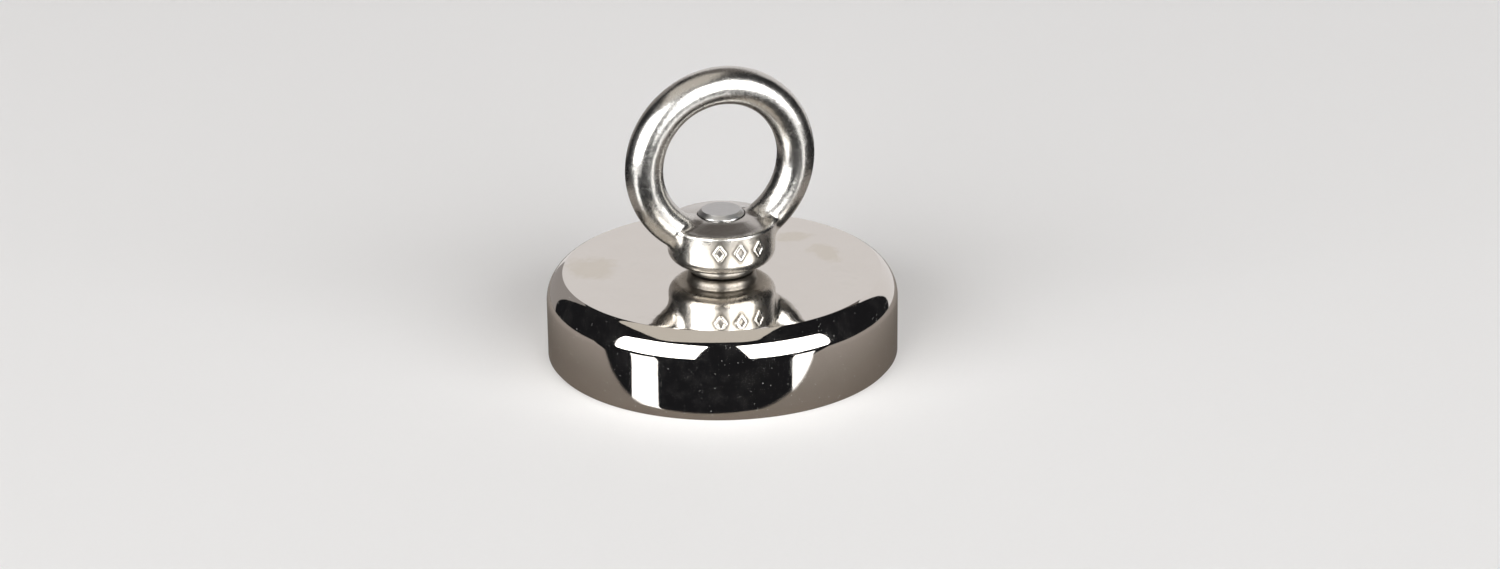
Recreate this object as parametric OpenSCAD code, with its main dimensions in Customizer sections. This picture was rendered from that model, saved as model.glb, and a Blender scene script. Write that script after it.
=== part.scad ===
// Magnet fishing magnet: a single-sided pot magnet with a lifting eye nut.
// Millimetres. The origin is the centre of the pulling face, +Z runs up through the eye,
// and the eye's hole runs along Y.

/* [Pot] */
// Outside diameter of the steel pot
pot_d = 60; // [56:1:75]
// Height of the steel pot
pot_h = 15; // [14:0.5:20]
// Radius of the rounding round the pot's top
pot_edge_r = 5.5; // [4:0.25:6]
// Radius of the machined flat on top, which cuts into the rounding
flat_r = 27.2; // [27:0.1:28]
// Thickness of the pot's wall
pot_wall = 4; // [3:0.25:5]
// Thickness of the pot's roof
roof_t = 6.6; // [5:0.1:8]

/* [Magnet] */
// Radial gap between the magnet and the pot's wall
outer_gap = 1; // [0.5:0.1:1.5]
// Radial gap between the magnet and the centre bush
inner_gap = 0.8; // [0.5:0.1:1.5]
// How far the magnet's face lies behind the pot's rim
face_recess = 0.15; // [0.05:0.05:0.5]
// How far the epoxy lies behind the pot's rim
epoxy_recess = 0.3; // [0.1:0.05:0.8]
// Thickness of the bond film above the magnet
film_t = 0.15; // [0.05:0.05:0.3]

/* [Screw and bush] */
// Length of the countersunk screw, head included
screw_len = 25; // [24:0.5:26]
// Diameter of the clearance hole for the screw
clearance_d = 8.4; // [8.2:0.1:9]
// Outside diameter of the centre bush
bush_d = 20; // [18.5:0.5:24]

/* [Eye nut] */
// Diameter of the foot that stands on the pot
foot_d = 11.8; // [10.5:0.1:13]
// Height of the foot
foot_h = 1.9; // [1.4:0.1:3]
// Radius of the rounding round the foot's underside
foot_round = 1.1; // [0.3:0.1:1.3]
// Diameter of the collar
collar_d = 18.4; // [17:0.1:20]
// Height of the collar's shoulder above the pot
shoulder_h = 9.2; // [8:0.1:10]
// Height of the threaded hole's mouth above the pot
mouth_h = 10.2; // [9.5:0.1:10.5]
// Radius of the eye's centre line
eye_r = 13.6; // [12.5:0.1:16]
// Diameter of the eye's round section
eye_wire_d = 6.45; // [5:0.05:7]
// Height of the eye's centre above the pot
eye_h = 19.4; // [18:0.1:23]

/* [Relief on the collar] */
// Number of raised lozenges
lozenges = 3; // [2:1:5]
// Angle between neighbouring lozenges
lozenge_step = 22; // [19:1:24]
// Height of one lozenge
lozenge_h = 4.0; // [2:0.1:4]
// Width of one lozenge
lozenge_w = 2.7; // [1:0.1:2.8]
// Height of the row's centre line above the pot
lozenge_z = 6.3; // [6.2:0.1:6.4]
// How far a lozenge stands out of the collar
relief = 0.35; // [0.1:0.05:0.6]

/* [Hidden] */
$fn = 96;

// M8 coarse thread and the M8 countersunk hexagon socket head
thread_d = 8;
thread_core_d = 6.5;
thread_play = 0.05;        // radial clearance between the screw and the nut
head_d = 16;
head_rim = 0.4;            // short cylinder at the head's widest place
head_edge = 0.15;          // chamfer round the head's face
socket_af = 5;             // hexagon across its flats
socket_depth = 3.2;
drill_angle = 118;         // the socket ends in a drill point
hex_corner = 1 / cos(30);  // across corners over across flats
seat_play = 0.02;          // radial clearance of the head in its seat
seat_z = 0.95;             // underside of the head above the pulling face

pot_r = pot_d / 2;
cavity_r = pot_r - pot_wall;
cavity_z = pot_h - roof_t;
edge_centre_r = pot_r - pot_edge_r;
edge_centre_z = pot_h - sqrt(pow(pot_edge_r, 2) - pow(flat_r - edge_centre_r, 2));
rim_chamfer = 0.5;
hole_chamfer = 0.4;

magnet_r = cavity_r - outer_gap;
bush_r = bush_d / 2;
magnet_hole_r = bush_r + inner_gap;
magnet_top = cavity_z - film_t;
magnet_edge = 0.4;

screw_r = thread_d / 2 - thread_play;
head_r = head_d / 2;
screw_top = seat_z + screw_len;
end_chamfer = screw_r - thread_core_d / 2;

collar_r = collar_d / 2;
foot_r = foot_d / 2;
collar_low_r = 2.2;        // rounding below the collar
shoulder_r = 0.7;          // rounding at the collar's shoulder

// Turns half an outline about Z
module turned() {
  rotate_extrude() children();
}

// Disc that rounds an outline's corner, with its centre at the place given
module round_corner(x, y, r) {
  translate([x, y]) circle(r = r);
}

// Plain ring standing on z0
module ring(r_in, r_out, z0, z1) {
  translate([0, 0, z0])
    difference() {
      cylinder(r = r_out, h = z1 - z0);
      translate([0, 0, -1]) cylinder(r = r_in, h = z1 - z0 + 2);
    }
}

// Turned steel cup, open below, with a clearance hole through its roof
module pot_shell() {
  color([0.80, 0.78, 0.75])
    difference() {
      turned()
        union() {
          polygon([
            [0, 0],
            [pot_r - rim_chamfer, 0],
            [pot_r, rim_chamfer],
            [pot_r, edge_centre_z],
            [flat_r, pot_h],
            [0, pot_h]
          ]);
          intersection() {
            round_corner(edge_centre_r, edge_centre_z, pot_edge_r);
            translate([edge_centre_r, edge_centre_z]) square([pot_edge_r, pot_h - edge_centre_z]);
          }
        }
      translate([0, 0, -1]) cylinder(r = cavity_r, h = cavity_z + 1);
      cylinder(d = clearance_d, h = pot_h + 1);
      translate([0, 0, pot_h - hole_chamfer])
        cylinder(d1 = clearance_d, d2 = clearance_d + 4 * hole_chamfer, h = 2 * hole_chamfer);
    }
}

// Neodymium ring with small chamfers on its four edges
module ring_magnet() {
  color([0.78, 0.78, 0.79])
    turned()
      polygon([
        [magnet_hole_r + magnet_edge, face_recess],
        [magnet_r - magnet_edge, face_recess],
        [magnet_r, face_recess + magnet_edge],
        [magnet_r, magnet_top - magnet_edge],
        [magnet_r - magnet_edge, magnet_top],
        [magnet_hole_r + magnet_edge, magnet_top],
        [magnet_hole_r, magnet_top - magnet_edge],
        [magnet_hole_r, face_recess + magnet_edge]
      ]);
}

// Bond film between the magnet and the cup's roof
module magnet_adhesive() {
  color([0.35, 0.33, 0.28]) ring(bush_r, cavity_r, magnet_top, cavity_z);
}

// Potting between the magnet and the pot's wall
module outer_epoxy_ring() {
  color([0.10, 0.10, 0.11]) ring(magnet_r, cavity_r, epoxy_recess, magnet_top);
}

// Potting between the magnet and the centre bush
module inner_epoxy_ring() {
  color([0.10, 0.10, 0.11]) ring(bush_r, magnet_hole_r, epoxy_recess, magnet_top);
}

// Non-magnetic sleeve that carries the screw's head
module centre_bush() {
  seat_r = head_r + seat_play;
  cone_top = seat_z + head_rim + seat_r - clearance_d / 2;
  color([0.76, 0.66, 0.42])
    difference() {
      translate([0, 0, face_recess]) cylinder(r = bush_r, h = cavity_z - face_recess);
      cylinder(d = clearance_d, h = pot_h);
      translate([0, 0, -1]) cylinder(r = seat_r, h = 1 + seat_z + head_rim);
      translate([0, 0, seat_z + head_rim])
        cylinder(r1 = seat_r, r2 = clearance_d / 2, h = cone_top - seat_z - head_rim);
    }
}

// Countersunk screw, head down, with a hexagon socket in the head and a chamfered end
module countersunk_screw() {
  cone_h = head_r - screw_r;
  point_r = socket_af / 2;
  color([0.70, 0.70, 0.71])
    difference() {
      turned()
        polygon([
          [0, seat_z],
          [head_r - head_edge, seat_z],
          [head_r, seat_z + head_edge],
          [head_r, seat_z + head_rim],
          [screw_r, seat_z + head_rim + cone_h],
          [screw_r, screw_top - end_chamfer],
          [thread_core_d / 2, screw_top],
          [0, screw_top]
        ]);
      translate([0, 0, seat_z - 1])
        cylinder(d = socket_af * hex_corner, h = socket_depth + 1, $fn = 6);
      translate([0, 0, seat_z + socket_depth])
        cylinder(r1 = point_r, r2 = 0, h = point_r / tan(drill_angle / 2));
    }
}

// One raised lozenge on the collar's front, turned about Z by the angle given
module lozenge(angle) {
  rotate([0, 0, angle])
    translate([0, -collar_r - relief, lozenge_z])
      rotate([-90, 0, 0])
        linear_extrude(height = 2)
          polygon([
            [-lozenge_w / 2, 0],
            [0, -lozenge_h / 2],
            [lozenge_w / 2, 0],
            [0, lozenge_h / 2]
          ]);
}

// Turned outline of the nut's foot and collar, from the pot's top upwards
module collar_outline() {
  union() {
    polygon([
      [0, 0],
      [foot_r - foot_round, 0],
      [foot_r, foot_round],
      [foot_r, foot_h],
      [collar_r - collar_low_r, foot_h],
      [collar_r, foot_h + collar_low_r],
      [collar_r, shoulder_h - shoulder_r],
      [collar_r - shoulder_r, shoulder_h],
      [thread_d / 2, mouth_h],
      [0, mouth_h]
    ]);
    round_corner(foot_r - foot_round, foot_round, foot_round);
    round_corner(collar_r - collar_low_r, foot_h + collar_low_r, collar_low_r);
    round_corner(collar_r - shoulder_r, shoulder_h - shoulder_r, shoulder_r);
  }
}

// Cast stainless eye nut: foot, domed collar, eye and raised relief, bored for the thread
module eye_nut() {
  color([0.74, 0.74, 0.74])
    translate([0, 0, pot_h])
      difference() {
        union() {
          turned() collar_outline();
          translate([0, 0, eye_h])
            rotate([90, 0, 0])
              rotate_extrude() translate([eye_r, 0]) circle(d = eye_wire_d);
          for (i = [0 : lozenges - 1])
            lozenge((i - (lozenges - 1) / 2) * lozenge_step);
        }
        translate([0, 0, -1]) cylinder(d = thread_d, h = mouth_h + 2);
      }
}

pot_shell();
ring_magnet();
magnet_adhesive();
outer_epoxy_ring();
inner_epoxy_ring();
centre_bush();
countersunk_screw();
eye_nut();
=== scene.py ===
"""Magnet fishing magnet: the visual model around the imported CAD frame.

Shapes are written in millimetres, with the origin at the centre of the pulling face and +Z up
through the eye, and become metres when a mesh is made.
"""

import math

import bmesh
import bpy
import numpy as np
from mathutils import Matrix, Vector


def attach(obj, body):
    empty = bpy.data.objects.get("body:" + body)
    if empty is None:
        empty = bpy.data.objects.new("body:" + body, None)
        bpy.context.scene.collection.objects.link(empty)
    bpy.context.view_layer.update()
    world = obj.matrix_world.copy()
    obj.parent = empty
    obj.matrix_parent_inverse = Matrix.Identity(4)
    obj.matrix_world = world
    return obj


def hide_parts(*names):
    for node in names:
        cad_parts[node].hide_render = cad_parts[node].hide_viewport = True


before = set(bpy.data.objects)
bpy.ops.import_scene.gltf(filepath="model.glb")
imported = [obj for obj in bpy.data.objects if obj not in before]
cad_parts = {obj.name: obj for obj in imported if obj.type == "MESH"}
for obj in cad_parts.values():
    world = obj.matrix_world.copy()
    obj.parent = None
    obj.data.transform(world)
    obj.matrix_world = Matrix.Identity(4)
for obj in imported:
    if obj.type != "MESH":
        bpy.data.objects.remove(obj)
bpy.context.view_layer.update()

MM = 0.001
TURN = 2.0 * math.pi

# ---------------------------------------------------------------- the pot, in millimetres
POT_R = 30.0
POT_H = 15.0
EDGE_R = 5.5            # rounding round the pot's top
FLAT_R = 27.2           # the machined flat cuts into the rounding here
BURNISHED = 0.12        # narrow break where it does
CAVITY_R = 26.0
CAVITY_Z = 8.4
RIM_CHAMFER = 0.5
HOLE_R = 4.2
HOLE_CHAMFER = 0.4
MAGNET_OUT_R = 25.0
MAGNET_IN_R = 10.8
MAGNET_TOP = 8.25
MAGNET_EDGE = 0.4       # worn rounding of the magnet's edges
FACE_Z = 0.15           # magnet's face behind the rim
EPOXY_Z = 0.3
BUSH_R = 10.0

# ---------------------------------------------------------------- the screw and its thread
SEAT_Z = 0.95           # underside of the screw's head
HEAD_R = 8.0
HEAD_RIM = 0.4          # short cylinder at the head's widest place
SEAT_PLAY = 0.02
SCREW_TOP = SEAT_Z + 25.0
THREAD_LOW = 6.3        # the thread runs from here to the top
PITCH = 1.25
SCREW_R = 3.95
SCREW_ROOT_R = 3.25
NUT_MAJOR_R = 4.0
NUT_MINOR_R = 3.42
CREST_FLAT = 0.13       # flat of the crest, as a part of the pitch
FLANK_END = 0.80        # where the flank meets the root, in half pitches from the crest
THREAD_START = math.radians(300.0)    # where the crest crosses the pot's top
SOCKET_AF = 5.0
SOCKET_DEPTH = 3.2
DRILL_HALF_ANGLE = 59.0

# ---------------------------------------------------------------- the nut, above the pot's top
EYE_R = 13.6
EYE_WIRE_R = 3.225
EYE_H = 19.4
EYE_FILLET = 0.95
COLLAR_R = 9.2
COLLAR_LOW_ROUND = 2.2
SHOULDER = (8.5, 9.2)   # radius and height
SHOULDER_ROUND = 0.45
MOUTH = (4.0, 10.2)
MOUTH_ROUND = 0.3
FOOT_R = 5.9
FOOT_H = 1.9
FOOT_ROUND = 1.1
FOOT_FILLET = 0.3
CAST_UNEVEN = 0.06
NUT_GRID = 0.19         # grid step of the nut's mesh

LOZENGES = 3
LOZENGE_STEP = 22.0     # degrees
LOZENGE_HALF = (1.35, 2.0)
LOZENGE_H = 6.3
BAR_HALF = 0.38         # half the width of a frame's bar
STAKE_ANGLE = 12.0      # degrees round from +X

# ---------------------------------------------------------------- camera
CAMERA_LENS = 84.0              # on a 36 mm sensor
CAMERA_ELEVATION = 22.18        # degrees
CAMERA_AZIMUTH = -20.5
CAMERA_ROLL = -0.62
CAMERA_SHIFT = (-4.8, -2.68, 597.0)   # pot's top centre in the camera: right, down, ahead, in mm


# ================================================================ mesh helpers

def make_piece(name, points, faces, smooth_angle=35.0):
    """A mesh object from points in millimetres, smooth but for edges sharper than the angle."""
    mesh = bpy.data.meshes.new(name)
    mesh.from_pydata((np.asarray(points) * MM).tolist(), [], [list(f) for f in faces])
    piece = bpy.data.objects.new(name, mesh)
    bpy.context.scene.collection.objects.link(piece)
    clean(piece)
    shade(piece, smooth_angle)
    return piece


def clean(piece):
    """Welds doubled points, drops faces without area and turns all normals outwards."""
    bm = bmesh.new()
    bm.from_mesh(piece.data)
    bmesh.ops.remove_doubles(bm, verts=bm.verts, dist=1e-7)
    bmesh.ops.dissolve_degenerate(bm, edges=bm.edges, dist=1e-7)
    bmesh.ops.recalc_face_normals(bm, faces=bm.faces)
    bm.to_mesh(piece.data)
    bm.free()


def shade(piece, smooth_angle):
    """Smooth shading with sharp edges above the angle, in degrees."""
    piece.data.shade_smooth()
    piece.data.set_sharp_from_angle(angle=math.radians(smooth_angle))


def combine(piece, operation, *tools):
    """Subtracts the tools from the piece, or unites them with it, and removes them."""
    for tool in tools:
        modifier = piece.modifiers.new("combine", "BOOLEAN")
        modifier.operation = operation
        modifier.object = tool
        modifier.solver = "MANIFOLD"
        bpy.context.view_layer.update()
        evaluated = piece.evaluated_get(bpy.context.evaluated_depsgraph_get())
        mesh = bpy.data.meshes.new_from_object(evaluated)
        piece.modifiers.clear()
        old, piece.data = piece.data, mesh
        mesh.name = piece.name
        bpy.data.meshes.remove(old)
        bpy.data.objects.remove(tool)
    clean(piece)


def round_angles(segments):
    """Evenly spaced angles of one turn about Z."""
    return np.linspace(0.0, TURN, segments, endpoint=False)


def round_row(angles, radius, height):
    """A row of points round Z. The radius and the height may change with the angle."""
    return np.stack([radius * np.cos(angles), radius * np.sin(angles),
                     np.broadcast_to(height, angles.shape)], axis=-1)


def disc_rows(radii_and_heights, segments):
    """Plain round rows, for what is turned."""
    angles = round_angles(segments)
    return [round_row(angles, r, z) for r, z in radii_and_heights]


def grid_faces(rows, columns, wrap_rows=False):
    """Quads of a grid of points whose columns run round and close."""
    last = rows if wrap_rows else rows - 1
    faces = []
    for i in range(last):
        for j in range(columns):
            k = (j + 1) % columns
            n = (i + 1) % rows
            faces.append((i * columns + j, i * columns + k, n * columns + k, n * columns + j))
    return faces


def arc(centre, radius, start, end, step):
    """Points of an arc in the outline's plane. Angles in degrees, 0 outwards and 90 up."""
    count = max(2, int(abs(end - start) / step) + 1)
    angles = np.radians(np.linspace(start, end, count))
    return [(centre[0] + radius * math.cos(a), centre[1] + radius * math.sin(a)) for a in angles]


def softened(outline, radii, closed=True, step=9.0):
    """Rounds an outline's corners. radii is one radius, or one for each corner: 0 keeps it."""
    count = len(outline)
    result = []
    for i, corner in enumerate(outline):
        radius = radii[i] if isinstance(radii, (list, tuple)) else radii
        at_end = not closed and i in (0, count - 1)
        if radius <= 0 or at_end:
            result.append(corner)
            continue
        c = np.array(corner, float)
        a = np.array(outline[i - 1], float) - c
        b = np.array(outline[(i + 1) % count], float) - c
        a /= np.linalg.norm(a)
        b /= np.linalg.norm(b)
        half = math.acos(max(-1.0, min(1.0, float(a @ b)))) / 2
        middle = (a + b) / np.linalg.norm(a + b)
        centre = c + middle * radius / math.sin(half)
        start = c + a * radius / math.tan(half) - centre
        end = c + b * radius / math.tan(half) - centre
        sweep = math.pi - 2 * half
        steps = max(2, int(math.degrees(sweep) / step) + 1)
        for k in range(steps + 1):
            t = k / steps
            p = start * math.sin((1 - t) * sweep) + end * math.sin(t * sweep)
            result.append(tuple(centre + p / math.sin(sweep)))
    return result


def densified(outline, longest):
    """Splits a closed outline's long sides, so that shading and warps have points to use."""
    result = []
    count = len(outline)
    for i in range(count):
        a, b = np.array(outline[i], float), np.array(outline[(i + 1) % count], float)
        pieces = max(1, int(math.ceil(np.linalg.norm(b - a) / longest)))
        result += [tuple(a + (b - a) * k / pieces) for k in range(pieces)]
    return result


def lathe(name, outline, segments=256, smooth_angle=35.0, warp=None):
    """Turns a closed outline of (radius, height) about Z. warp may move the points."""
    points = np.concatenate(disc_rows(outline, segments))
    if warp is not None:
        points = warp(points)
    faces = grid_faces(len(outline), segments, wrap_rows=True)
    return make_piece(name, points, faces, smooth_angle)


def waves(points, seed, count, wavelength, spread=1.6):
    """Smooth irregularity between -1 and 1: a seeded sum of sine waves through space."""
    rng = np.random.default_rng(seed)
    total = np.zeros(points.shape[:-1])
    for _ in range(count):
        direction = rng.normal(size=3)
        direction /= np.linalg.norm(direction)
        length = wavelength * rng.uniform(1.0 / spread, spread)
        total += np.sin(points @ direction * TURN / length + rng.uniform(0.0, TURN))
    return total / count


def ramp(x, low, high):
    """0 below low, 1 above high and a smooth rise between."""
    t = np.clip((x - low) / (high - low), 0.0, 1.0)
    return t * t * (3.0 - 2.0 * t)


# ================================================================ the pot and what is in it

def make_pot_shell():
    """Turned and plated steel cup. The flat meets the rounding in a crisp line."""
    centre_r = POT_R - EDGE_R
    centre_z = POT_H - math.sqrt(EDGE_R ** 2 - (FLAT_R - centre_r) ** 2)
    kink = math.degrees(math.acos((FLAT_R - centre_r) / EDGE_R))
    inside_and_rim = [
        (HOLE_R, CAVITY_Z), (CAVITY_R, CAVITY_Z), (CAVITY_R, 0.0),
        (POT_R - RIM_CHAMFER, 0.0), (POT_R, RIM_CHAMFER)]
    rounding = arc((centre_r, centre_z), EDGE_R, 0.0, kink, 1.5)
    kink_corner = [rounding[-2], rounding[-1], (FLAT_R - 1.0, POT_H)]
    # the last corner is left out: it only gives the rim's chamfer its direction
    outline = softened(inside_and_rim, [0, 0.4, 0.12, 0.15, 0], closed=False)[:-1]
    outline += [(POT_R, RIM_CHAMFER + 0.1), (POT_R, centre_z - 0.3)]
    outline += rounding[:-1]
    outline += softened(kink_corner, BURNISHED, closed=False, step=5)[1:]
    outline += [(FLAT_R - 1.2, POT_H), (HOLE_R + HOLE_CHAMFER, POT_H)]
    outline += [(HOLE_R, POT_H - HOLE_CHAMFER)]
    return lathe("pot_shell_plated", densified(outline, 1.5), 384, 50.0)


def make_ring_magnet():
    """Sintered ring with ground faces and worn edges."""
    corners = [
        (MAGNET_IN_R, FACE_Z), (MAGNET_OUT_R, FACE_Z),
        (MAGNET_OUT_R, MAGNET_TOP), (MAGNET_IN_R, MAGNET_TOP)]
    outline = densified(softened(corners, MAGNET_EDGE, step=12), 1.2)
    return lathe("ring_magnet_ground", outline, smooth_angle=50.0)


def make_epoxy_ring(name, inner, outer, seed):
    """Potting with an uneven face, which climbs a little at both walls."""
    width = outer - inner
    across = np.linspace(0.0, 1.0, 9)
    # nearer the rim at both walls, sunk in the middle
    face = [(inner + width * t, EPOXY_Z + 0.16 * (1 - (2 * t - 1) ** 4)) for t in across]
    outline = densified(face + [(outer, MAGNET_TOP), (inner, MAGNET_TOP)], 1.5)

    def uneven(points):
        near_face = np.clip(1.0 - (points[:, 2] - EPOXY_Z), 0.0, 1.0)
        flow = 0.5 + 0.5 * waves(points, seed, count=9, wavelength=6.0)
        points[:, 2] += near_face * 0.14 * flow
        return points

    return lathe(name, outline, smooth_angle=60.0, warp=uneven)


def make_centre_bush():
    """Turned sleeve with a countersink for the screw's head."""
    seat_r = HEAD_R + SEAT_PLAY
    seat_top = SEAT_Z + HEAD_RIM
    lead_in = 0.3
    corners = [
        (seat_r + lead_in, FACE_Z), (BUSH_R, FACE_Z), (BUSH_R, CAVITY_Z), (HOLE_R, CAVITY_Z),
        (HOLE_R, seat_top + seat_r - HOLE_R), (seat_r, seat_top), (seat_r, FACE_Z + lead_in)]
    outline = densified(softened(corners, [0.06, 0.15, 0, 0, 0, 0, 0.06]), 1.0)
    return lathe("centre_bush_turned", outline, 224, 40.0)


# ================================================================ the screw

def thread_radius(angles, z, crest_r, root_r):
    """Radius of a right-handed thread at an angle and height: flat crest, 60 degree flanks."""
    phase = (z - POT_H) / PITCH - (angles - THREAD_START) / TURN
    from_crest = 2.0 * np.abs(phase - np.round(phase))
    down_flank = np.clip((from_crest - CREST_FLAT) / (FLANK_END - CREST_FLAT), 0.0, 1.0)
    return crest_r - (crest_r - root_r) * down_flank


def threaded_rows(z_low, z_high, radius_at, angles):
    """Rows of points that follow the helix, held between two heights, and their number a turn."""
    in_pitch = (-0.4, -0.32, -0.23, -0.15, -0.065, 0.0, 0.065, 0.15, 0.23, 0.32, 0.4, 0.5)
    lead = (angles - THREAD_START) / TURN
    first = int(math.floor((z_low - POT_H) / PITCH)) - 2
    last = int(math.ceil((z_high - POT_H) / PITCH)) + 2
    rows = []
    for turn in range(first, last):
        for phase in in_pitch:
            z = np.clip(POT_H + PITCH * (turn + phase + lead), z_low, z_high)
            rows.append(round_row(angles, radius_at(angles, z), z))
    return rows, len(in_pitch)


def helical_faces(rows, per_turn, segments):
    """Quads between helical rows. The last column joins the row one turn further up."""
    faces = []
    for i in range(rows - 1):
        for j in range(segments - 1):
            a = i * segments + j
            faces.append((a, a + 1, a + segments + 1, a + segments))
        if i + per_turn < rows - 1:
            a = i * segments + segments - 1
            b = (i + per_turn) * segments
            faces.append((a, b, b + segments, a + segments))
    return faces


def make_threaded_rod(name, z_low, z_high, radius_at, below, above, segments=128):
    """A threaded length closed by turned ends, given from the thread outwards to the axis."""
    angles = round_angles(segments)
    rows, per_turn = threaded_rows(z_low, z_high, radius_at, angles)
    faces = helical_faces(len(rows), per_turn, segments)
    points = [p for row in rows for p in row]
    for z, ends in ((z_low, below), (z_high, above)):
        turned = [round_row(angles, radius_at(angles, np.full(segments, z)), z)]
        turned += disc_rows(ends[:-1], segments)
        base = len(points)
        for row in turned:
            points.extend(row)
        faces += [tuple(v + base for v in f) for f in grid_faces(len(turned), segments)]
        tip = len(points)
        points.append((0.0, 0.0, ends[-1][1]))
        ring = base + (len(turned) - 1) * segments
        faces += [(ring + j, ring + (j + 1) % segments, tip) for j in range(segments)]
    return make_piece(name, points, faces, 32.0)


def cone_cutter(name, z_low, r_low, z_high, r_high, tip=None, segments=96):
    """A turned cutter: a truncated cone, with a point on top where tip is given."""
    points = [p for row in disc_rows([(r_low, z_low), (r_high, z_high)], segments) for p in row]
    faces = grid_faces(2, segments)
    faces.append(tuple(range(segments)))
    if tip is None:
        faces.append(tuple(range(segments, 2 * segments)))
    else:
        points.append((0.0, 0.0, tip))
        faces += [(segments + j, segments + (j + 1) % segments, 2 * segments)
                  for j in range(segments)]
    return make_piece(name, points, faces)


def socket_cutters():
    """Hexagon socket with a chamfered mouth and a drill point, cut upwards from the head."""
    corner_r = SOCKET_AF / 2 / math.cos(math.radians(30))
    point_r = SOCKET_AF / 2 * 0.97
    bottom = SEAT_Z + SOCKET_DEPTH
    point_h = point_r / math.tan(math.radians(DRILL_HALF_ANGLE))
    angles = np.radians(np.arange(6) * 60.0)
    points = [(corner_r * math.cos(a), corner_r * math.sin(a), z)
              for z in (SEAT_Z - 1.0, bottom) for a in angles]
    faces = [(j, (j + 1) % 6, 6 + (j + 1) % 6, 6 + j) for j in range(6)]
    faces += [tuple(range(6)), tuple(range(6, 12))]
    socket = make_piece("socket_cutter", points, faces)
    drill = cone_cutter("drill_cutter", SEAT_Z + 1.0, point_r, bottom, point_r, bottom + point_h)
    mouth = cone_cutter("mouth_cutter", SEAT_Z - 1.0, corner_r + 1.15,
                        SEAT_Z + 0.22, corner_r - 0.35)
    return mouth, socket, drill


def make_screw():
    """M8 countersunk screw: rolled thread, turned head and end, hexagon socket."""
    cone_end = SEAT_Z + HEAD_RIM + HEAD_R - SCREW_R

    def envelope(angles, z):
        full_depth = ramp(SCREW_TOP - z, 0.8, 1.3)
        root = SCREW_R - (SCREW_R - SCREW_ROOT_R) * full_depth
        thread = thread_radius(angles, z, SCREW_R, root)
        end = SCREW_ROOT_R + 0.05 + (SCREW_TOP - z)
        run_out = SCREW_ROOT_R + np.maximum(z - THREAD_LOW, 0.0) * 1.2
        return np.minimum(np.minimum(thread, end), run_out)

    below = [(SCREW_ROOT_R + 0.3, THREAD_LOW - 0.3), (SCREW_R, cone_end + 0.2), (SCREW_R, cone_end),
             (6.0, cone_end - 2.05), (HEAD_R - 0.02, SEAT_Z + 0.42), (HEAD_R, SEAT_Z + 0.38),
             (HEAD_R, SEAT_Z + 0.2), (HEAD_R - 0.04, SEAT_Z + 0.08), (HEAD_R - 0.15, SEAT_Z),
             (6.5, SEAT_Z), (5.0, SEAT_Z), (3.4, SEAT_Z), (0.0, SEAT_Z)]
    above = [(2.4, SCREW_TOP), (1.2, SCREW_TOP), (0.0, SCREW_TOP)]
    screw = make_threaded_rod("screw_threaded", THREAD_LOW, SCREW_TOP, envelope, below, above)
    combine(screw, "DIFFERENCE", *socket_cutters())
    shade(screw, 32.0)
    return screw


# ================================================================ the cast eye nut

def round_and(a, b, radius):
    """Distance to what lies in both shapes, with a rounded edge where they meet."""
    inside = np.minimum(-radius, np.maximum(a, b))
    return inside + np.hypot(np.maximum(a + radius, 0.0), np.maximum(b + radius, 0.0))


def round_or(a, b, radius):
    """Distance to what lies in either shape, with a fillet where they meet."""
    outside = np.maximum(radius, np.minimum(a, b))
    return outside - np.hypot(np.maximum(radius - a, 0.0), np.maximum(radius - b, 0.0))


def nut_field(points):
    """Signed distance to the cast nut, without its bore. Heights are from the pot's top."""
    x, y, h = points[..., 0], points[..., 1], points[..., 2]
    rho = np.hypot(x, y)
    slope = math.hypot(SHOULDER[0] - MOUTH[0], MOUTH[1] - SHOULDER[1])
    dome = ((rho - SHOULDER[0]) * (MOUTH[1] - SHOULDER[1])
            + (h - SHOULDER[1]) * (SHOULDER[0] - MOUTH[0])) / slope
    flat_mouth = h - MOUTH[1] + 0.02
    crown = round_and(dome, flat_mouth, MOUTH_ROUND)
    collar = round_and(rho - COLLAR_R, crown, SHOULDER_ROUND)
    collar = round_and(collar, FOOT_H - h, COLLAR_LOW_ROUND)
    # the foot reaches up into the collar
    foot = round_and(round_and(rho - FOOT_R, -h, FOOT_ROUND), h - FOOT_H - 2.0, 0.2)
    turned = round_or(collar, foot, FOOT_FILLET)
    ring = np.hypot(np.hypot(x, h - EYE_H) - EYE_R, y) - EYE_WIRE_R
    body = round_or(turned, ring, EYE_FILLET)
    away_from_foot = ramp(h, 0.6, 2.4)
    uneven = 0.5 + 0.5 * waves(points, seed=7, count=12, wavelength=5.0)
    return body + CAST_UNEVEN * uneven * away_from_foot


def moved_back(cells, shift, others):
    """Cells shifted back along the two axes that an edge doesn't run along."""
    near = cells.copy()
    near[:, others] -= shift
    return tuple(near.T)


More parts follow.
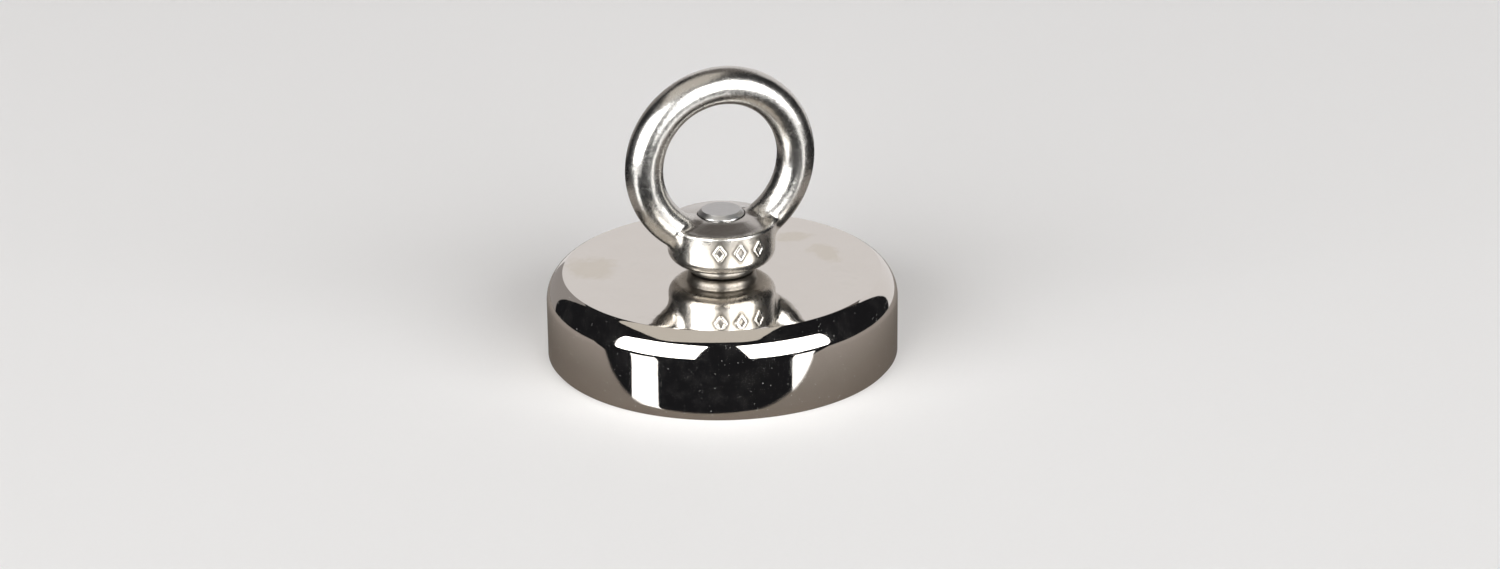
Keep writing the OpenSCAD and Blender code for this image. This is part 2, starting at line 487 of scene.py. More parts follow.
def mesh_field(field, low, high, step):
    """Surface-net mesh of a field's zero surface, moved onto the surface itself."""
    axes = [np.arange(low[i], high[i] + step, step) for i in range(3)]
    points = np.stack(np.meshgrid(*axes, indexing="ij"), axis=-1)
    slabs = np.array_split(points, 12)      # to save memory
    values = np.concatenate([field(slab) for slab in slabs])
    inside = values < 0.0
    cells_shape = tuple(np.array(inside.shape) - 1)
    # every grid edge that crosses the surface: its crossing point is shared by four cells
    total = np.zeros(cells_shape + (3,))
    count = np.zeros(cells_shape, int)
    crossings = []
    for axis in range(3):
        hit = inside != np.roll(inside, -1, axis)
        index = [slice(None)] * 3
        index[axis] = -1
        hit[tuple(index)] = False
        cells = np.argwhere(hit)
        following = cells.copy()
        following[:, axis] += 1
        a, b = values[tuple(cells.T)], values[tuple(following.T)]
        crossing = points[tuple(cells.T)].copy()
        crossing[:, axis] += step * a / (a - b)
        others = [i for i in range(3) if i != axis]
        for shift in ((0, 0), (0, 1), (1, 0), (1, 1)):
            near = moved_back(cells, shift, others)
            np.add.at(total, near, crossing)
            np.add.at(count, near, 1)
        crossings.append((others, cells))
    used = count > 0
    number = np.full(used.shape, -1)
    number[used] = np.arange(used.sum())
    vertices = total[used] / count[used][:, None]
    round_edge = ((0, 0), (1, 0), (1, 1), (0, 1))
    quads = [np.stack([number[moved_back(cells, shift, others)] for shift in round_edge], axis=-1)
             for others, cells in crossings]
    return on_surface(field, vertices, step), np.concatenate(quads)


def on_surface(field, vertices, step, rounds=4):
    """Moves points along the field's slope onto its zero surface."""
    nudge = step * 0.1
    for _ in range(rounds):
        slope = np.stack([
            (field(vertices + offset) - field(vertices - offset)) / (2 * nudge)
            for offset in np.eye(3) * nudge], axis=-1)
        length = np.maximum((slope ** 2).sum(axis=-1), 0.05)
        move = slope * (field(vertices) / length)[:, None]
        vertices = vertices - np.clip(move, -step / 2, step / 2)
    return vertices


def make_lozenge_frame(index):
    """One raised lozenge frame, wrapped round the collar's front."""
    half_w, half_h = LOZENGE_HALF
    reach = half_w * half_h / math.hypot(half_w, half_h)
    shrink = (reach - BAR_HALF) / reach
    corners = [(half_w * shrink, 0.0), (0.0, half_h * shrink),
               (-half_w * shrink, 0.0), (0.0, -half_h * shrink)]
    path = np.array(densified(softened(corners, 0.15), 0.12))
    along = np.roll(path, -1, axis=0) - np.roll(path, 1, axis=0)
    along /= np.linalg.norm(along, axis=1)[:, None]
    outwards = np.stack([along[:, 1], -along[:, 0]], axis=-1)
    # the bar's section: place across it, in half widths, and height above the collar
    section = [(-1.25, -0.40), (-1.0, 0.03), (-0.86, 0.24), (-0.55, 0.32), (0.0, 0.34),
               (0.55, 0.32), (0.86, 0.24), (1.0, 0.03), (1.25, -0.40)]
    turn = math.radians((index - (LOZENGES - 1) / 2) * LOZENGE_STEP)
    points = []
    for offset, depth in section:
        flat = path + outwards * offset * BAR_HALF
        angle = turn + flat[:, 0] / COLLAR_R
        radius = COLLAR_R + depth
        points += list(np.stack([radius * np.sin(angle), -radius * np.cos(angle),
                                 POT_H + LOZENGE_H + flat[:, 1]], axis=-1))
    return make_piece("lozenge_frame", points, grid_faces(len(section), len(path), wrap_rows=True))


def make_stake_cutter():
    """Wedge for the small stake mark at the mouth, which keeps the screw from backing out."""
    mouth = POT_H + MOUTH[1]
    profile = [(3.7, mouth + 0.5), (5.0, mouth + 0.5), (4.55, mouth - 0.35), (3.7, mouth - 0.8)]
    points = []
    for side in (-1.0, 1.0):
        for r, z in profile:
            width = 0.14 + 0.10 * (z - mouth + 0.8)
            angle = math.radians(STAKE_ANGLE) + side * width / r
            points.append((r * math.cos(angle), r * math.sin(angle), z))
    faces = [(0, 1, 2, 3), (7, 6, 5, 4)]
    faces += [(j, (j + 1) % 4, 4 + (j + 1) % 4, 4 + j) for j in range(4)]
    return make_piece("stake_cutter", points, faces)


def make_tap_cutter():
    """The nut's thread, with a countersink at the mouth and a chamfer at the foot."""
    mouth = POT_H + MOUTH[1]
    mouth_r = NUT_MAJOR_R + 0.02

    def tap(angles, z):
        thread = thread_radius(angles, z, NUT_MAJOR_R, NUT_MINOR_R)
        entry = np.minimum(NUT_MINOR_R + (z - (mouth - 1.5)), mouth_r)
        entry = np.maximum(entry, mouth_r + (z - (mouth - 0.25)) * 0.5)
        leaving = NUT_MAJOR_R - np.maximum(z - (POT_H + 0.1), 0.0)
        return np.maximum(np.maximum(thread, entry), leaving)

    low, high = POT_H - 1.0, POT_H + MOUTH[1] + 1.0
    return make_threaded_rod("tap_cutter", low, high, tap, [(0.0, low)], [(0.0, high)])


def make_eye_nut():
    """Cast nut with its eye, bored and threaded to match the screw."""
    reach = EYE_R + EYE_WIRE_R + 0.5
    depth = COLLAR_R + 0.8
    low, high = (-reach, -depth, -0.5), (reach, depth, EYE_H + reach)
    vertices, quads = mesh_field(nut_field, low, high, NUT_GRID)
    vertices[:, 2] = np.maximum(vertices[:, 2], 0.0) + POT_H
    nut = make_piece("eye_nut_cast", vertices, quads, 40.0)
    tap = make_tap_cutter()
    combine(nut, "UNION", *[make_lozenge_frame(i) for i in range(LOZENGES)])
    combine(nut, "DIFFERENCE", tap, make_stake_cutter())
    shade(nut, 40.0)
    return nut


# ================================================================ materials

class Nodes:
    """Short names for building a node material round one Principled shader."""

    def __init__(self, name):
        self.material = bpy.data.materials.new(name)
        self.material.use_nodes = True
        self.tree = self.material.node_tree
        self.tree.nodes.clear()
        self.output = self.add("ShaderNodeOutputMaterial")
        self.shader = self.add("ShaderNodeBsdfPrincipled")
        self.link(self.shader, "BSDF", self.output, "Surface")
        self.place = self.add("ShaderNodeTexCoord")

    def add(self, kind, **values):
        node = self.tree.nodes.new(kind)
        for key, value in values.items():
            setattr(node, key, value)
        return node

    def link(self, source, out, target, into):
        self.tree.links.new(source.outputs[out], target.inputs[into])

    def feed(self, socket, value):
        """Sets a socket to a number or colour, or links it to another socket."""
        if isinstance(value, bpy.types.NodeSocket):
            self.tree.links.new(value, socket)
        else:
            socket.default_value = value

    def point(self, stretch=(1.0, 1.0, 1.0), turn=(0.0, 0.0, 0.0)):
        """Object coordinates in millimetres, stretched and turned."""
        mapping = self.add("ShaderNodeMapping")
        self.link(self.place, "Object", mapping, "Vector")
        mapping.inputs["Scale"].default_value = [s / MM for s in stretch]
        mapping.inputs["Rotation"].default_value = turn
        return mapping.outputs["Vector"]

    def noise(self, scale, detail=3.0, rough=0.5, at=None, distort=0.0):
        """Noise between 0 and 1. scale is in features per millimetre."""
        node = self.add("ShaderNodeTexNoise")
        self.feed(node.inputs["Vector"], at or self.point())
        node.inputs["Scale"].default_value = scale
        node.inputs["Detail"].default_value = detail
        node.inputs["Roughness"].default_value = rough
        node.inputs["Distortion"].default_value = distort
        return node.outputs["Fac"]

    def cells(self, scale):
        """Distance to the nearest of scattered points. scale is in points per millimetre."""
        node = self.add("ShaderNodeTexVoronoi")
        self.feed(node.inputs["Vector"], self.point())
        node.inputs["Scale"].default_value = scale
        return node.outputs["Distance"]

    def math(self, operation, a, b=0.0):
        node = self.add("ShaderNodeMath", operation=operation)
        self.feed(node.inputs[0], a)
        self.feed(node.inputs[1], b)
        return node.outputs[0]

    def chain(self, operation, values):
        total = values[0]
        for value in values[1:]:
            total = self.math(operation, total, value)
        return total

    def times(self, *values):
        """Product. Of masks, it is what lies in all of them."""
        return self.chain("MULTIPLY", values)

    def plus(self, *values):
        return self.chain("ADD", values)

    def less(self, a, b):
        return self.math("SUBTRACT", a, b)

    def most(self, *values):
        """Largest. Of masks, it is what lies in any of them."""
        return self.chain("MAXIMUM", values)

    def length(self, a, b):
        return self.math("SQRT", self.plus(self.times(a, a), self.times(b, b)))

    def span(self, value, low, high, to_low=0.0, to_high=1.0):
        """Maps a range of a value onto another, smoothly and clamped."""
        node = self.add("ShaderNodeMapRange", clamp=True, interpolation_type="SMOOTHSTEP")
        self.feed(node.inputs["Value"], value)
        for key, number in (("From Min", low), ("From Max", high),
                            ("To Min", to_low), ("To Max", to_high)):
            self.feed(node.inputs[key], number)
        return node.outputs["Result"]

    def mix(self, factor, a, b):
        """Mixes two colours, each a socket or three numbers."""
        node = self.add("ShaderNodeMix", data_type="RGBA")
        self.feed(node.inputs[0], factor)
        for index, colour in ((6, a), (7, b)):
            is_socket = isinstance(colour, bpy.types.NodeSocket)
            self.feed(node.inputs[index], colour if is_socket else (*colour, 1.0))
        return node.outputs[2]

    def part(self, axis, at=None):
        node = self.add("ShaderNodeSeparateXYZ")
        self.feed(node.inputs[0], at or self.point())
        return node.outputs[axis]

    def radius(self):
        """Distance from the Z axis in millimetres."""
        at = self.point()
        return self.length(self.part("X", at), self.part("Y", at))

    def polar(self, along, around):
        """Coordinates that run round the Z axis, for turned and lapped surfaces."""
        node = self.add("ShaderNodeCombineXYZ")
        at = self.point()
        angle = self.math("ARCTAN2", self.part("Y", at), self.part("X", at))
        self.feed(node.inputs[0], self.times(self.radius(), along))
        self.feed(node.inputs[1], self.times(angle, around))
        self.feed(node.inputs[2], self.times(self.part("Z", at), along))
        return node.outputs[0]

    def bump(self, *layers):
        """Stacks bumps of (height, depth in millimetres) and feeds the shader's normal."""
        normal = None
        for height, depth in layers:
            node = self.add("ShaderNodeBump")
            node.inputs["Strength"].default_value = 1.0
            node.inputs["Distance"].default_value = depth * MM
            self.feed(node.inputs["Height"], height)
            if normal is not None:
                self.feed(node.inputs["Normal"], normal)
            normal = node.outputs["Normal"]
        self.feed(self.shader.inputs["Normal"], normal)

    def set(self, **values):
        for key, value in values.items():
            self.feed(self.shader.inputs[key.replace("_", " ")], value)


# centre and half size of each mark, in X and Y
WATER_MARKS = ((-20.5, 8.3, 4.6, 5.2), (16.6, 9.4, 3.6, 2.4), (19.0, 0.6, 2.6, 5.0))


def water_marks(m, cloud):
    """1 in the dry water marks on the pot's top, whose edges the cloud makes ragged."""
    x, y = m.part("X"), m.part("Y")
    ragged = m.times(m.less(cloud, 0.5), 1.5)
    marks = []
    for centre_x, centre_y, half_x, half_y in WATER_MARKS:
        across = m.math("DIVIDE", m.less(x, centre_x), half_x)
        along = m.math("DIVIDE", m.less(y, centre_y), half_y)
        marks.append(m.span(m.plus(m.length(across, along), ragged), 1.15, 0.55))
    on_top = m.span(m.part("Z"), POT_H - 0.4, POT_H - 0.1)
    return m.times(m.most(*marks), on_top)


def nickel_plate():
    """Bright nickel on turned steel: near-mirror, with smudges, dust specks and hairlines."""
    m = Nodes("bright_nickel_plating")
    cloud = m.noise(0.33, 4.0, 0.62, distort=0.6)
    smudge = m.span(m.times(m.noise(0.10, 2.0, 0.5), cloud), 0.27, 0.42)
    marks = water_marks(m, cloud)
    # long thin hairlines in two directions
    hair_a = m.noise(1.0, 2.0, 0.5, m.point((0.05, 5.0, 5.0), (0.3, 0.2, 0.5)))
    hair_b = m.noise(1.0, 2.0, 0.5, m.point((6.0, 0.06, 6.0), (0.1, 0.4, -0.4)))
    hairs = m.most(m.span(hair_a, 0.70, 0.76), m.span(hair_b, 0.71, 0.77))
    # a few dust specks, finer dust in patches and a faint haze
    specks = m.times(m.span(m.cells(2.0), 0.13, 0.07), m.span(m.noise(0.8, 3.0, 0.6), 0.52, 0.60))
    fine = m.times(m.span(m.cells(4.2), 0.17, 0.07), m.span(m.noise(0.5, 4.0, 0.7), 0.50, 0.62))
    haze = m.times(m.span(m.noise(0.35, 5.0, 0.7), 0.46, 0.70), m.noise(5.0, 3.0, 0.7))
    dust = m.most(m.times(fine, 0.13), m.times(haze, 0.018), m.times(specks, 0.8))
    lapping = m.noise(1.0, 3.0, 0.6, m.polar(7.0, 1.5))
    colour = m.mix(m.noise(0.2, 3.0), (0.735, 0.700, 0.655), (0.765, 0.735, 0.695))
    colour = m.mix(m.times(smudge, 0.35), colour, (0.70, 0.67, 0.62))
    colour = m.mix(m.times(marks, 0.30), colour, (0.58, 0.51, 0.37))
    colour = m.mix(specks, colour, (0.62, 0.61, 0.60))
    rough = m.plus(0.030, m.times(smudge, 0.030), m.times(marks, 0.10),
                   m.times(lapping, 0.022), m.times(specks, 0.5))
    m.set(Base_Color=colour, Metallic=m.less(1.0, dust), Roughness=rough)
    m.bump((m.noise(0.22, 2.0, 0.4), 0.018), (m.noise(2.2, 2.0), 0.0006),
           (lapping, 0.0005), (hairs, -0.0009))
    return m.material


def magnet_plate():
    """Nickel over ground, sintered magnet: satin, with grinding lines and small chips."""
    m = Nodes("satin_nickel_on_magnet")
    grind = m.noise(1.0, 4.0, 0.6, m.point((0.12, 9.0, 9.0), (0.0, 0.0, 0.7)))
    cloud = m.noise(0.16, 4.0, 0.6)
    chips = m.times(m.span(m.cells(0.55), 0.13, 0.07), m.span(m.noise(0.35, 1.0), 0.60, 0.66))
    colour = m.mix(cloud, (0.60, 0.60, 0.61), (0.73, 0.73, 0.735))
    colour = m.mix(m.times(chips, 0.8), colour, (0.16, 0.15, 0.145))
    rough = m.plus(m.span(cloud, 0.2, 0.8, 0.17, 0.30), m.times(grind, 0.08), m.times(chips, 0.3))
    m.set(Base_Color=colour, Metallic=1.0, Roughness=rough)
    m.bump((grind, 0.006), (m.noise(3.0, 3.0), 0.002), (chips, -0.05))
    return m.material


def black_epoxy():
    """Cured potting resin: glossy black with a flowed skin, pinholes and grey dust."""
    m = Nodes("black_potting_epoxy")
    flow = m.noise(0.45, 3.0, 0.55)
    pinholes = m.times(m.span(m.cells(1.6), 0.16, 0.06), m.span(m.noise(0.7, 1.0), 0.52, 0.6))
    dust = m.span(m.noise(3.5, 5.0, 0.7), 0.45, 0.75)
    colour = m.mix(dust, (0.012, 0.012, 0.014), (0.045, 0.045, 0.047))
    colour = m.mix(m.times(pinholes, 0.6), colour, (0.10, 0.10, 0.10))
    m.set(Base_Color=colour, Roughness=m.span(flow, 0.25, 0.75, 0.14, 0.34), IOR=1.54)
    m.bump((flow, 0.10), (m.noise(2.0, 3.0), 0.010), (pinholes, -0.10))
    return m.material


def bond_film():
    """Cured amber bond film, milky where it is thick."""
    m = Nodes("cured_bond_film")
    flow = m.noise(0.3, 4.0, 0.6)
    colour = m.mix(flow, (0.26, 0.23, 0.17), (0.44, 0.42, 0.36))
    m.set(Base_Color=colour, Roughness=m.span(flow, 0.3, 0.7, 0.35, 0.6), IOR=1.5)
    m.bump((flow, 0.03), (m.noise(2.5, 2.0), 0.004))
    return m.material


def turned_brass():
    """Turned brass: fine tool rings, a dull film and painted shade deeper in the pot."""
    m = Nodes("turned_brass")
    rings = m.noise(1.0, 3.0, 0.65, m.polar(9.0, 0.25))
    painted_depth_shade = m.span(m.part("Z"), 0.6, 2.5)
    colour = m.mix(m.noise(0.4, 4.0, 0.6), (0.60, 0.44, 0.20), (0.78, 0.62, 0.34))
    # painted shade: darker the further the surface lies into the pot
    colour = m.mix(m.times(painted_depth_shade, 0.45), colour, (0.24, 0.17, 0.09))
    m.set(Base_Color=colour, Metallic=1.0, Roughness=m.span(rings, 0.2, 0.8, 0.18, 0.36))
    m.bump((rings, 0.008), (m.noise(4.0, 2.0), 0.0015))
    return m.material


def screw_steel():
    """Rolled and turned stainless steel, darker in the thread's roots."""
    m = Nodes("rolled_screw_steel")
    rings = m.noise(1.0, 3.0, 0.6, m.polar(8.0, 0.2))
    grime = m.noise(1.2, 4.0, 0.6)
    height = m.part("Z")
    in_thread = m.times(m.span(m.radius(), 3.80, 3.30),
                        m.span(height, THREAD_LOW - 0.7, THREAD_LOW + 0.1),
                        m.span(height, SCREW_TOP - 0.1, SCREW_TOP - 0.35))
    # the sawn end is duller than the rest
    end = m.span(height, SCREW_TOP - 0.9, SCREW_TOP - 0.6)
    root_darkening = m.times(in_thread, m.span(grime, 0.2, 0.8, 0.45, 0.85))
    colour = m.mix(grime, (0.56, 0.56, 0.555), (0.67, 0.67, 0.67))
    # darker in the thread's roots, in patches
    colour = m.mix(root_darkening, colour, (0.14, 0.135, 0.125))
    rough = m.plus(m.span(rings, 0.2, 0.8, 0.07, 0.14), m.times(grime, 0.06),
                   m.times(in_thread, 0.12), m.times(end, 0.22))
    m.set(Base_Color=colour, Metallic=1.0, Roughness=rough)
    m.bump((rings, 0.0025), (m.noise(5.0, 3.0), 0.0010))
    return m.material


def around_lozenges(m):
    """Two masks round the raised frames: painted shade, and round them a ring of it that tumbling
    leaves dull.
    """
    at = m.point()
    angle = m.math("ARCTAN2", m.part("X", at), m.times(m.part("Y", at), -1.0))
    step = math.radians(LOZENGE_STEP)
    ends = (LOZENGES - 1) / 2
    nearest = m.math("ROUND", m.math("DIVIDE", angle, step))
    nearest = m.most(m.math("MINIMUM", nearest, ends), -ends)
    across = m.times(m.less(angle, m.times(nearest, step)), COLLAR_R / LOZENGE_HALF[0])
    across = m.math("ABSOLUTE", across)
    up = m.less(m.part("Z", at), POT_H + LOZENGE_H)
    up = m.math("ABSOLUTE", m.math("DIVIDE", up, LOZENGE_HALF[1]))
    # 1 at a lozenge's outline. The frames' corners are rounded off
    out = m.most(m.plus(across, up), m.times(up, 1.20), m.times(across, 1.08))
    on_side = m.span(m.radius(), 8.4, 8.8)
    outside = m.span(out, 0.90, 1.04)
    inner_hollow = m.span(out, 0.42, 0.28)
    outline = m.times(outside, m.span(out, 1.45, 1.08))
    # painted shade inside each frame and just outside its outline, and a wider ring of it round the
    # frames
    lozenge_shade = m.times(m.most(inner_hollow, outline), on_side)
    dull_shade_halo = m.times(outside, m.span(out, 2.4, 1.5), on_side)
    return lozenge_shade, dull_shade_halo


def cast_stainless():
    """Cast and tumbled stainless steel: soft orange peel, grain, pits and duller recesses with
    painted shade.
    """
    m = Nodes("tumbled_cast_stainless")
    grain = m.noise(5.0, 4.0, 0.65)
    cloud = m.noise(0.25, 4.0, 0.6, distort=0.4)
    pits = m.times(m.span(m.cells(1.3), 0.10, 0.04), m.span(m.noise(0.8, 1.0), 0.56, 0.63))
    at = m.point()
    height = m.less(m.part("Z", at), POT_H)
    radius = m.radius()
    # the collar's domed top is finished on a lathe, but not where the ring stands on it. Its darker
    # colour is painted shade
    ring_side = m.span(m.math("ABSOLUTE", m.part("Y", at)), 3.6, 2.9)
    outside_ring = m.less(1.0, m.times(ring_side, m.span(radius, 5.4, 6.6)))
    machined_and_shaded = m.times(m.span(height, 9.05, 9.3), m.span(radius, 8.75, 8.5), outside_ring,
                       m.span(height, 10.4, 10.25))
    cast = m.less(1.0, machined_and_shaded)
    tool_marks = m.noise(1.0, 3.0, 0.6, m.polar(6.0, 0.3))
    # painted shade: under the collar, round the lozenge frames and in the gap round the screw's end
    under_collar = m.times(m.span(height, 3.2, 1.7), m.span(radius, 9.0, 5.6))
    crevice = m.times(m.span(radius, 4.22, 4.10),
                      m.span(height, 9.5, 9.8), m.span(height, 10.6, 10.3))
    lozenge_shade, dull_shade_halo = around_lozenges(m)
    shaded = m.times(m.most(under_collar, lozenge_shade, crevice), m.span(grain, 0.3, 0.7, 0.6, 1.0))
    colour = m.mix(cloud, (0.61, 0.590, 0.555), (0.71, 0.695, 0.665))
    # painted shade: the lathe-finished dome drawn darker than the cast steel; its lower roughness
    # and tool marks are real
    colour = m.mix(m.times(machined_and_shaded, 0.6), colour, (0.50, 0.475, 0.45))
    # painted shade in a ring round the lozenge frames
    colour = m.mix(m.times(dull_shade_halo, 0.55), colour, (0.36, 0.335, 0.29))
    colour = m.mix(m.times(pits, 0.75), colour, (0.12, 0.115, 0.11))
    # painted shade under the collar, round the frames and round the screw's end
    colour = m.mix(m.times(shaded, 0.80), colour, (0.13, 0.115, 0.095))
    rough = m.plus(m.span(cloud, 0.25, 0.75, 0.17, 0.24), m.times(grain, 0.10),
                   m.times(shaded, 0.12), m.times(dull_shade_halo, 0.06), m.times(machined_and_shaded, -0.06),
                   m.times(pits, 0.3))
    m.set(Base_Color=colour, Metallic=1.0, Roughness=rough)
    m.bump((m.times(m.noise(0.7, 2.0, 0.5), cast), 0.040),
           (m.times(m.noise(2.2, 2.0, 0.5), cast), 0.010),
           (m.times(grain, cast), 0.006),
           (m.times(tool_marks, machined_and_shaded), 0.002),
           (pits, -0.03))
    return m.material


# ================================================================ studio and camera

def toward(side, elevation):
    """Unit vector seen from the object. side is in degrees from the camera to its right."""
    azimuth = math.radians(CAMERA_AZIMUTH)
    to_camera = Vector((math.sin(azimuth), -math.cos(azimuth), 0.0))
    to_right = Vector((math.cos(azimuth), math.sin(azimuth), 0.0))
    s, e = math.radians(side), math.radians(elevation)
    flat = to_camera * math.cos(s) + to_right * math.sin(s)
    return flat * math.cos(e) + Vector((0.0, 0.0, math.sin(e)))


def staged(name, points, faces, material):
    """A surface of the studio, with its points in metres. It isn't part of the object."""
    mesh = bpy.data.meshes.new(name)
    mesh.from_pydata([tuple(p) for p in points], [], faces)
    mesh.materials.append(material)
    item = bpy.data.objects.new(name, mesh)
    bpy.context.scene.collection.objects.link(item)
    return item


def glowing(name, points, faces, colour, strength):
    """A light in the shape of a surface, which the camera doesn't see."""
    material = bpy.data.materials.new(name)
    material.use_nodes = True
    tree = material.node_tree
    tree.nodes.clear()
    output = tree.nodes.new("ShaderNodeOutputMaterial")
    light = tree.nodes.new("ShaderNodeEmission")
    light.inputs["Color"].default_value = (*colour, 1.0)
    light.inputs["Strength"].default_value = strength
    tree.links.new(light.outputs[0], output.inputs["Surface"])
    item = staged(name, points, faces, material)
    item.visible_camera = False
    return item


def panel(name, outline, side, elevation, distance, strength, colour=(1.0, 1.0, 1.0)):
    """A flat light that faces the object. Its outline is in metres, (right, up)."""
    out = toward(side, elevation)
    right = Vector((-out.y, out.x, 0.0)).normalized()
    up = out.cross(right)
    centre = out * distance + Vector((0.0, 0.0, POT_H * MM))
    points = [centre + right * u + up * v for u, v in outline]
    return glowing(name, points, [tuple(range(len(points)))], colour, strength)


def backdrop(name, spread, heights, colour, strength, radius=1.25, steps=32):
    """A curved light behind the object, spread in degrees to the left and right of it."""
    left, right = spread
    points = []
    for i in range(steps + 1):
        place = toward(180.0 - right + (left + right) * i / steps, 0.0) * radius
        points += [(place.x, place.y, height) for height in heights]
    faces = [(2 * i, 2 * i + 2, 2 * i + 3, 2 * i + 1) for i in range(steps)]
    return glowing(name, points, faces, colour, strength)


def make_room():
    """A dark room for the metal to mirror, and a pale wall for cameras that look past the floor."""
    world = bpy.data.worlds.new("studio")
    bpy.context.scene.world = world
    world.use_nodes = True
    tree = world.node_tree
    dark = tree.nodes["Background"]
    dark.inputs["Color"].default_value = (0.54, 0.55, 0.62, 1.0)
    dark.inputs["Strength"].default_value = 0.022
    pale = tree.nodes.new("ShaderNodeBackground")
    pale.inputs["Color"].default_value = (0.84, 0.84, 0.845, 1.0)
    rays = tree.nodes.new("ShaderNodeLightPath")
    choice = tree.nodes.new("ShaderNodeMixShader")
    tree.links.new(rays.outputs["Is Camera Ray"], choice.inputs[0])
    tree.links.new(dark.outputs[0], choice.inputs[1])
    tree.links.new(pale.outputs[0], choice.inputs[2])
    tree.links.new(choice.outputs[0], tree.nodes["World Output"].inputs["Surface"])


def make_lights():
    """Two front softboxes, an overhead panel, backdrops and two low strips."""
    # each softbox is an upright light beside the camera, outlined in parts of its distance
    far = 2.4
    corners = [(-0.30, 0.82), (-0.17, -0.10), (0.97, -0.16), (0.97, 0.82)]
    outline = softened(corners, [0.03, 0.03, 0.09, 0.09])
    for name, sign in (("softbox_left", -1.0), ("softbox_right", 1.0)):
        panel(name, [(sign * far * u, far * v) for u, v in outline],
              side=sign * 26.5, elevation=0.0, distance=far, strength=5.5)
    overhead = softened([(-0.86, -0.82), (0.45, -0.82), (0.35, 0.45), (-0.86, 0.45)], 0.2)
    panel("overhead", overhead, side=0.0, elevation=88.0, distance=1.15, strength=0.66,
          colour=(1.0, 0.935, 0.85))
    backdrop("backdrop", (17.0, 47.0), (-0.25, 0.95), (1.0, 0.966, 0.962), 0.785)
    backdrop("shaded_wall", (47.0, -17.0), (-0.25, 0.95), (1.0, 0.93, 0.90), 0.32)
    backdrop("dark_upper_wall", (17.0, 47.0), (0.97, 2.6), (1.0, 0.90, 0.84), 0.15)
    # the strips only show in the metal
    for name, side, half in (("low_strip_left", -51.3, 0.165), ("low_strip_right", 53.0, 0.13)):
        outline = [(-half, -0.4), (half, -0.4), (half, 0.185), (-half, 0.185)]
        strip = panel(name, outline, side, elevation=-24.0, distance=1.1, strength=2.2)
        strip.visible_diffuse = False
        strip.visible_shadow = False


def make_floor():
    """Pale sweep. Mirrors see it end just in front of the object, and the dark room beyond."""
    half = 4.0
    m = Nodes("pale_floor")
    paper = m.noise(1.5, 4.0, 0.6)
    rays = m.add("ShaderNodeLightPath")
    mirror_ray = rays.outputs["Is Glossy Ray"]
    # pale to the camera; in the metal a darker painted reflection, as the palm is in the photo
    pale = m.mix(paper, (0.86, 0.86, 0.865), (0.88, 0.88, 0.885))
    # painted shade: the floor seen in the metal is darkest next to the object
    painted_reflection = m.mix(m.span(m.radius(), 31.0, 58.0), (0.20, 0.175, 0.155), (0.40, 0.365, 0.34))
    m.set(Base_Color=m.mix(mirror_ray, pale, painted_reflection), Roughness=0.9, Specular_IOR_Level=0.1)
    # the sweep stays pale far away, where the softboxes no longer reach
    far = m.span(m.radius(), 600.0, 2400.0, 0.0, 0.45)
    m.set(Emission_Color=(1.0, 1.0, 1.0, 1.0),
          Emission_Strength=m.times(rays.outputs["Is Camera Ray"], far))
    m.bump((paper, 0.01))
    front = toward(-8.0, 0.0)
    at = m.point()
    ahead = m.plus(m.times(m.part("X", at), front.x), m.times(m.part("Y", at), front.y))
    beyond = m.most(m.span(ahead, 31.0, 32.5), m.span(m.radius(), 70.0, 84.0))
    clear = m.add("ShaderNodeBsdfTransparent")
    blend = m.add("ShaderNodeMixShader")
    m.feed(blend.inputs[0], m.times(beyond, mirror_ray))
    m.link(m.shader, "BSDF", blend, 1)
    m.link(clear, "BSDF", blend, 2)
    m.link(blend, "Shader", m.output, "Surface")
    corners = [(-half, -half, 0.0), (half, -half, 0.0), (half, half, 0.0), (-half, half, 0.0)]
    staged("floor", corners, [(0, 1, 2, 3)], m.material)


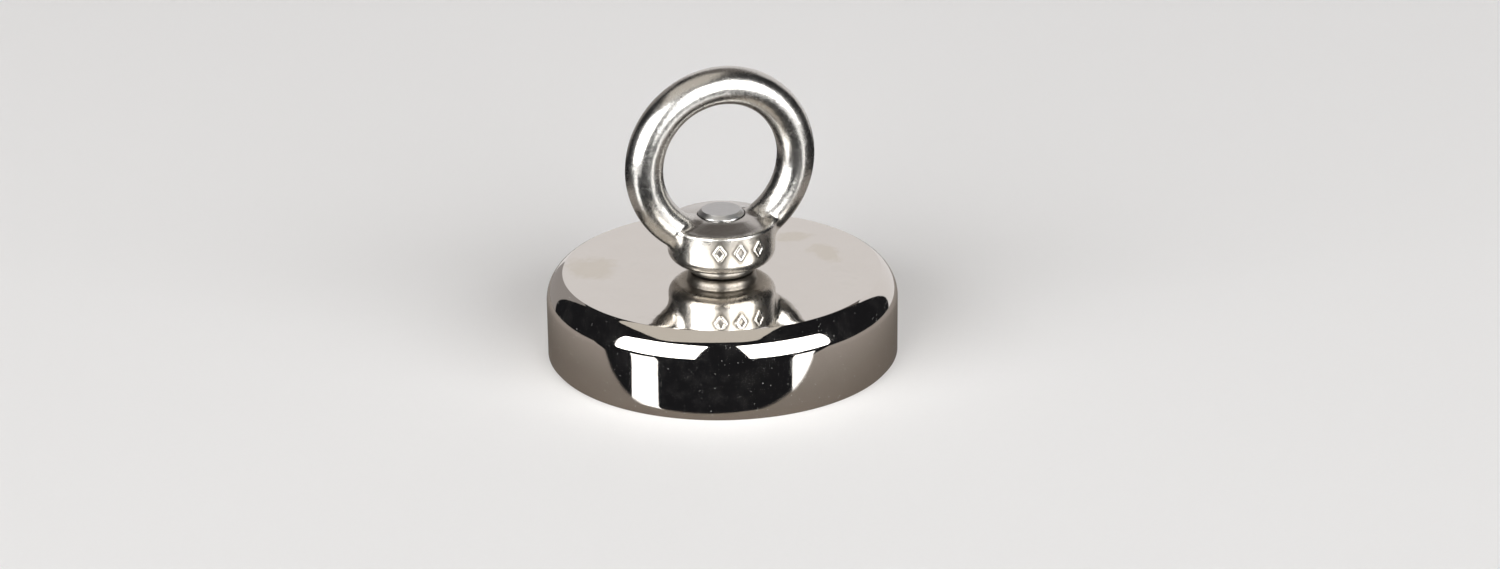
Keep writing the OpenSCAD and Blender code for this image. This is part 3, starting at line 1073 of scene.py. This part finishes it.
def make_camera():
    """Camera solved from the outline of the disc and the eye."""
    e, roll = math.radians(CAMERA_ELEVATION), math.radians(CAMERA_ROLL)
    right = Vector((1.0, 0.0, 0.0))
    down = Vector((0.0, -math.sin(e), -math.cos(e)))
    ahead = Vector((0.0, math.cos(e), -math.sin(e)))
    rolled_right = right * math.cos(roll) - down * math.sin(roll)
    rolled_down = right * math.sin(roll) + down * math.cos(roll)
    t = Vector(CAMERA_SHIFT) * MM
    place = -(rolled_right * t.x + rolled_down * t.y + ahead * t.z)
    turn = Matrix.Rotation(math.radians(CAMERA_AZIMUTH), 4, "Z")
    local = Matrix((
        (rolled_right.x, -rolled_down.x, -ahead.x, place.x),
        (rolled_right.y, -rolled_down.y, -ahead.y, place.y),
        (rolled_right.z, -rolled_down.z, -ahead.z, place.z),
        (0.0, 0.0, 0.0, 1.0)))
    data = bpy.data.cameras.new("camera")
    data.lens = CAMERA_LENS
    data.sensor_width = 36.0
    data.clip_start, data.clip_end = 0.01, 50.0
    camera = bpy.data.objects.new("camera", data)
    bpy.context.scene.collection.objects.link(camera)
    camera.matrix_world = Matrix.Translation((0.0, 0.0, POT_H * MM)) @ turn @ local
    bpy.context.scene.camera = camera


# ================================================================ assembly

def add(piece, material, node, body):
    """Gives a piece its material and body, and lets it stand for its CAD node."""
    piece.data.materials.clear()
    piece.data.materials.append(material)
    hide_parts(node)
    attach(piece, body)


add(make_pot_shell(), nickel_plate(), "pot_shell", "pot_magnet")
add(make_ring_magnet(), magnet_plate(), "ring_magnet", "pot_magnet")
epoxy = black_epoxy()
add(make_epoxy_ring("outer_epoxy_poured", MAGNET_OUT_R, CAVITY_R, 3), epoxy,
    "outer_epoxy_ring", "pot_magnet")
add(make_epoxy_ring("inner_epoxy_poured", BUSH_R, MAGNET_IN_R, 4), epoxy,
    "inner_epoxy_ring", "pot_magnet")
add(make_centre_bush(), turned_brass(), "centre_bush", "pot_magnet")
add(make_screw(), screw_steel(), "countersunk_screw", "screw")
add(make_eye_nut(), cast_stainless(), "eye_nut", "eye")

# the bond film keeps its CAD mesh
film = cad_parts["magnet_adhesive"]
film.data.materials.clear()
film.data.materials.append(bond_film())

make_floor()
make_room()
make_lights()
make_camera()
bpy.context.scene.view_settings.view_transform = "Standard"
